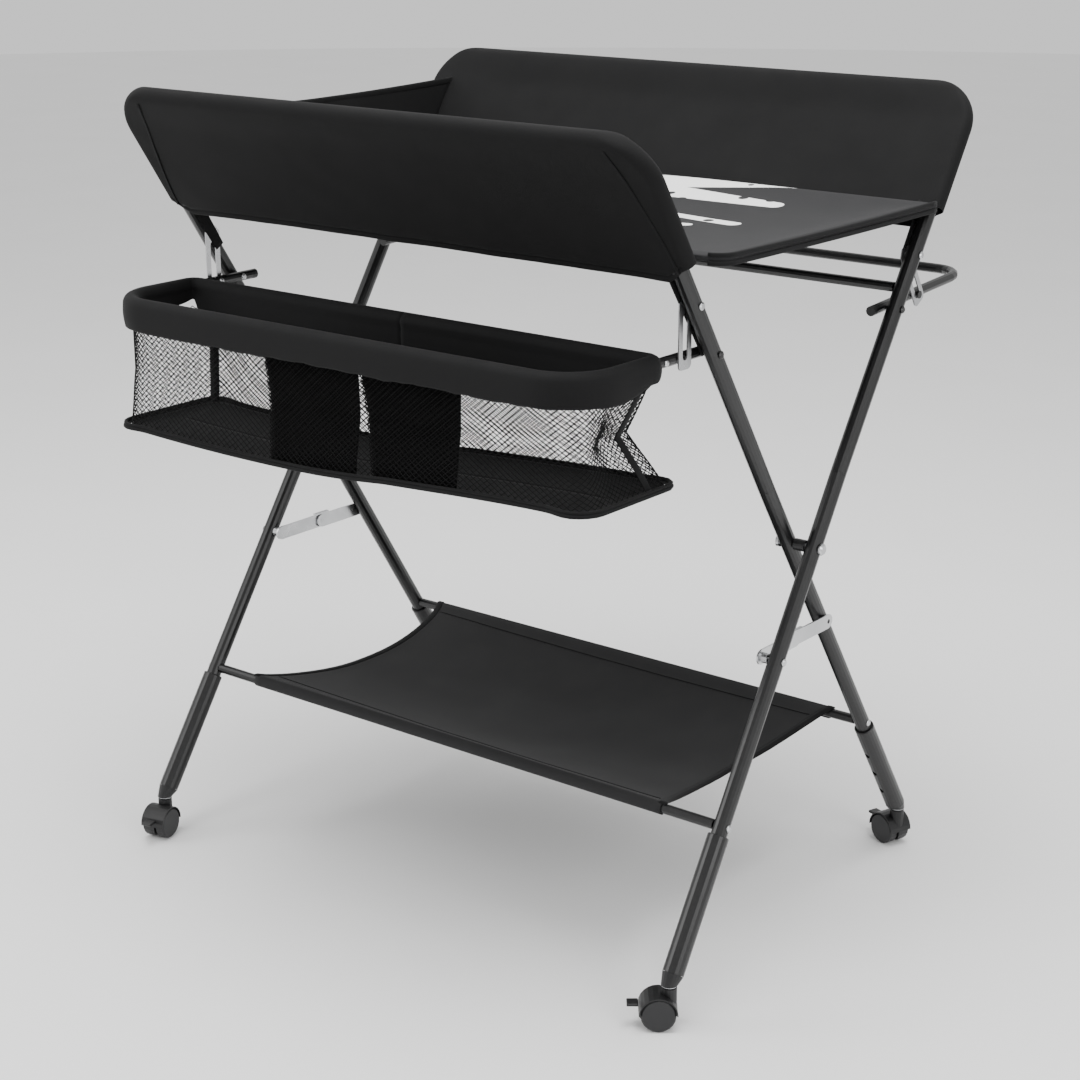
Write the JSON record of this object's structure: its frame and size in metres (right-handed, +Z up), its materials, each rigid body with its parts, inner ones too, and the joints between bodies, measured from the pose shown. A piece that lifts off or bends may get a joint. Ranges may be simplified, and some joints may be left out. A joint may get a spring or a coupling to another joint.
{
  "type": "folding changing table",
  "caption": "Folding baby changing table: crossed tube frame on casters, padded mat between two fabric guards, side basket, towel rail and fabric shelf.",
  "frame": {"origin": "on the ground under the middle of the pivot line", "axes": "+X along the table, the head end at -X; -Y is the front, where the basket hangs; +Z up"},
  "size_m": [0.8526, 0.7562, 0.991],
  "materials": {
    "black_steel": "black powder coat, satin",
    "bright_steel": "zinc plated",
    "black_plastic": "moulded, fine texture",
    "black_fabric": "coated woven polyester",
    "black_net": "knitted net with bound edges"
  },
  "bodies": {
    "outer_frame": {"outer_top_tube": "black_steel", "outer_lower_leg_left": "black_steel", "outer_lower_leg_right": "black_steel", "outer_crossbar": "black_steel", "outer_shelf_bar": "black_steel", "pivot_bolt_left": "bright_steel", "pivot_bolt_right": "bright_steel", "pivot_spacer_left": "black_plastic", "pivot_spacer_right": "black_plastic", "rear_guard_cover": "black_fabric", "mat": "black_fabric", "end_panel": "black_fabric", "shelf_fabric": "black_fabric"},
    "inner_frame": {"inner_top_tube": "black_steel", "inner_lower_leg_left": "black_steel", "inner_lower_leg_right": "black_steel", "inner_shelf_bar": "black_steel", "front_guard_cover": "black_fabric"},
    "basket": {"basket_rim": "black_steel", "basket_rear_bar": "black_steel", "basket_bag": "black_net", "basket_end_cap_left": "black_plastic", "basket_end_cap_right": "black_plastic"},
    "basket_link_left": {"basket_link_left": "bright_steel"},
    "basket_link_right": {"basket_link_right": "bright_steel"},
    "towel_rail": {"rail": "black_steel", "rail_end_cap_left": "black_plastic", "rail_end_cap_right": "black_plastic"},
    "rail_link_left": {"rail_link_left": "bright_steel"},
    "rail_link_right": {"rail_link_right": "bright_steel"},
    "brace_front_left": {"brace_front_link_left": "bright_steel"},
    "brace_rear_left": {"brace_rear_link_left": "bright_steel"},
    "brace_front_right": {"brace_front_link_right": "bright_steel"},
    "brace_rear_right": {"brace_rear_link_right": "bright_steel"},
    "foot_front_left": {"leg_sleeve_front_left": "black_steel", "end_plug_front_left": "black_plastic"},
    "button_front_left": {"lock_button_front_left": "bright_steel"},
    "caster_front_left": {"caster_hood_front_left": "black_plastic"},
    "wheels_front_left": {"caster_wheels_front_left": "black_plastic"},
    "brake_front_left": {"brake_lever_front_left": "black_plastic"},
    "foot_front_right": {"leg_sleeve_front_right": "black_steel", "end_plug_front_right": "black_plastic"},
    "button_front_right": {"lock_button_front_right": "bright_steel"},
    "caster_front_right": {"caster_hood_front_right": "black_plastic"},
    "wheels_front_right": {"caster_wheels_front_right": "black_plastic"},
    "brake_front_right": {"brake_lever_front_right": "black_plastic"},
    "foot_rear_left": {"leg_sleeve_rear_left": "black_steel", "end_plug_rear_left": "black_plastic"},
    "button_rear_left": {"lock_button_rear_left": "bright_steel"},
    "caster_rear_left": {"caster_hood_rear_left": "black_plastic"},
    "wheels_rear_left": {"caster_wheels_rear_left": "black_plastic"},
    "brake_rear_left": {"brake_lever_rear_left": "black_plastic"},
    "foot_rear_right": {"leg_sleeve_rear_right": "black_steel", "end_plug_rear_right": "black_plastic"},
    "button_rear_right": {"lock_button_rear_right": "bright_steel"},
    "caster_rear_right": {"caster_hood_rear_right": "black_plastic"},
    "wheels_rear_right": {"caster_wheels_rear_right": "black_plastic"},
    "brake_rear_right": {"brake_lever_rear_right": "black_plastic"}
  },
  "joints": [
    {"name": "fold", "type": "hinge", "parent": "outer_frame", "child": "inner_frame", "pos_m": [0, 0, 0.48612], "axis": [-1, 0, 0], "range_deg": [0, 56.4], "deforming": ["mat", "end_panel", "shelf_fabric"]},
    {"name": "brace_front_fold_left", "type": "hinge", "parent": "outer_frame", "child": "brace_front_left", "pos_m": [0, -0.07556, 0.37064], "axis": [1, 0, 0], "range_deg": [0, 52.8]},
    {"name": "brace_rear_fold_left", "type": "hinge", "parent": "brace_front_left", "child": "brace_rear_left", "pos_m": [0, 0, 0.37064], "axis": [-1, 0, 0], "range_deg": [0, 162]},
    {"name": "brace_front_fold_right", "type": "hinge", "parent": "outer_frame", "child": "brace_front_right", "pos_m": [0, -0.07556, 0.37064], "axis": [1, 0, 0], "range_deg": [0, 52.8]},
    {"name": "brace_rear_fold_right", "type": "hinge", "parent": "brace_front_right", "child": "brace_rear_right", "pos_m": [0, 0, 0.37064], "axis": [-1, 0, 0], "range_deg": [0, 162]},
    {"name": "basket_swing", "type": "hinge", "parent": "inner_frame", "child": "basket", "pos_m": [0, -0.16482, 0.73798], "axis": [-1, 0, 0], "range_deg": [0, 40]},
    {"name": "basket_link_swing_left", "type": "hinge", "parent": "inner_frame", "child": "basket_link_left", "pos_m": [0, -0.20315, 0.79656], "axis": [1, 0, 0], "range_deg": [0, 12.4]},
    {"name": "basket_link_swing_right", "type": "hinge", "parent": "inner_frame", "child": "basket_link_right", "pos_m": [0, -0.20315, 0.79656], "axis": [1, 0, 0], "range_deg": [0, 12.4]},
    {"name": "towel_rail_swing", "type": "hinge", "parent": "outer_frame", "child": "towel_rail", "pos_m": [0, 0.16482, 0.73798], "axis": [1, 0, 0], "range_deg": [0, 24]},
    {"name": "rail_link_swing_left", "type": "hinge", "parent": "outer_frame", "child": "rail_link_left", "pos_m": [0, 0.20315, 0.79656], "axis": [1, 0, 0], "range_deg": [0, 15.2]},
    {"name": "rail_link_swing_right", "type": "hinge", "parent": "outer_frame", "child": "rail_link_right", "pos_m": [0, 0.20315, 0.79656], "axis": [1, 0, 0], "range_deg": [0, 15.2]},
    {"name": "leg_height_front_left", "type": "slide", "parent": "outer_frame", "child": "foot_front_left", "axis": [-0.0131, -0.5475, -0.8367], "range_m": [0, 0.074]},
    {"name": "lock_button_press_front_left", "type": "slide", "parent": "outer_frame", "child": "button_front_left", "axis": [-0.2588, -0.8064, 0.5317], "range_m": [0, 0.004], "stiffness_N_per_m": 500, "springref_m": -0.002},
    {"name": "caster_swivel_front_left", "type": "hinge", "parent": "foot_front_left", "child": "caster_front_left", "pos_m": [-0.408, -0.28473, 0.051], "axis": [0, 0, 1], "continuous": true},
    {"name": "wheel_spin_front_left", "type": "hinge", "parent": "caster_front_left", "child": "wheels_front_left", "pos_m": [-0.4051, -0.29638, 0.02], "axis": [0.9703, 0.2419, 0], "continuous": true},
    {"name": "brake_press_front_left", "type": "hinge", "parent": "caster_front_left", "child": "brake_front_left", "pos_m": [-0.3997, -0.31801, 0.029], "axis": [0.9703, 0.2419, 0], "range_deg": [0, 15]},
    {"name": "leg_height_front_right", "type": "slide", "parent": "outer_frame", "child": "foot_front_right", "axis": [0.0131, -0.5475, -0.8367], "range_m": [0, 0.074]},
    {"name": "lock_button_press_front_right", "type": "slide", "parent": "outer_frame", "child": "button_front_right", "axis": [0.2588, -0.8064, 0.5317], "range_m": [0, 0.004], "stiffness_N_per_m": 500, "springref_m": -0.002},
    {"name": "caster_swivel_front_right", "type": "hinge", "parent": "foot_front_right", "child": "caster_front_right", "pos_m": [0.408, -0.28473, 0.051], "axis": [0, 0, 1], "continuous": true},
    {"name": "wheel_spin_front_right", "type": "hinge", "parent": "caster_front_right", "child": "wheels_front_right", "pos_m": [0.39854, -0.29212, 0.02], "axis": [0.6157, -0.788, 0], "continuous": true},
    {"name": "brake_press_front_right", "type": "hinge", "parent": "caster_front_right", "child": "brake_front_right", "pos_m": [0.38097, -0.30585, 0.029], "axis": [0.6157, -0.788, 0], "range_deg": [0, 15]},
    {"name": "leg_height_rear_left", "type": "slide", "parent": "inner_frame", "child": "foot_rear_left", "axis": [-0.0131, 0.5475, -0.8367], "range_m": [0, 0.074]},
    {"name": "lock_button_press_rear_left", "type": "slide", "parent": "inner_frame", "child": "button_rear_left", "axis": [-0.2588, 0.8064, 0.5317], "range_m": [0, 0.004], "stiffness_N_per_m": 500, "springref_m": -0.002},
    {"name": "caster_swivel_rear_left", "type": "hinge", "parent": "foot_rear_left", "child": "caster_rear_left", "pos_m": [-0.374, 0.28473, 0.051], "axis": [0, 0, 1], "continuous": true},
    {"name": "wheel_spin_rear_left", "type": "hinge", "parent": "caster_rear_left", "child": "wheels_rear_left", "pos_m": [-0.3781, 0.29601, 0.02], "axis": [-0.9397, -0.342, 0], "continuous": true},
    {"name": "brake_press_rear_left", "type": "hinge", "parent": "caster_rear_left", "child": "brake_rear_left", "pos_m": [-0.38573, 0.31696, 0.029], "axis": [-0.9397, -0.342, 0], "range_deg": [0, 15]},
    {"name": "leg_height_rear_right", "type": "slide", "parent": "inner_frame", "child": "foot_rear_right", "axis": [0.0131, 0.5475, -0.8367], "range_m": [0, 0.074]},
    {"name": "lock_button_press_rear_right", "type": "slide", "parent": "inner_frame", "child": "button_rear_right", "axis": [0.2588, 0.8064, 0.5317], "range_m": [0, 0.004], "stiffness_N_per_m": 500, "springref_m": -0.002},
    {"name": "caster_swivel_rear_right", "type": "hinge", "parent": "foot_rear_right", "child": "caster_rear_right", "pos_m": [0.374, 0.28473, 0.051], "axis": [0, 0, 1], "continuous": true},
    {"name": "wheel_spin_rear_right", "type": "hinge", "parent": "caster_rear_right", "child": "wheels_rear_right", "pos_m": [0.36265, 0.28864, 0.02], "axis": [-0.3256, -0.9455, 0], "continuous": true},
    {"name": "brake_press_rear_right", "type": "hinge", "parent": "caster_rear_right", "child": "brake_rear_right", "pos_m": [0.34157, 0.2959, 0.029], "axis": [-0.3256, -0.9455, 0], "range_deg": [0, 15]}
  ],
  "couplings": [
    {"joint": "brace_front_fold_left", "follows": "fold", "ratio": 0.934},
    {"joint": "brace_rear_fold_left", "follows": "fold", "ratio": 2.869},
    {"joint": "brace_front_fold_right", "follows": "fold", "ratio": 0.934},
    {"joint": "brace_rear_fold_right", "follows": "fold", "ratio": 2.869},
    {"joint": "basket_link_swing_left", "follows": "basket_swing", "ratio": 0.3},
    {"joint": "basket_link_swing_right", "follows": "basket_swing", "ratio": 0.3},
    {"joint": "rail_link_swing_left", "follows": "towel_rail_swing", "ratio": 0.61},
    {"joint": "rail_link_swing_right", "follows": "towel_rail_swing", "ratio": 0.61}
  ]
}
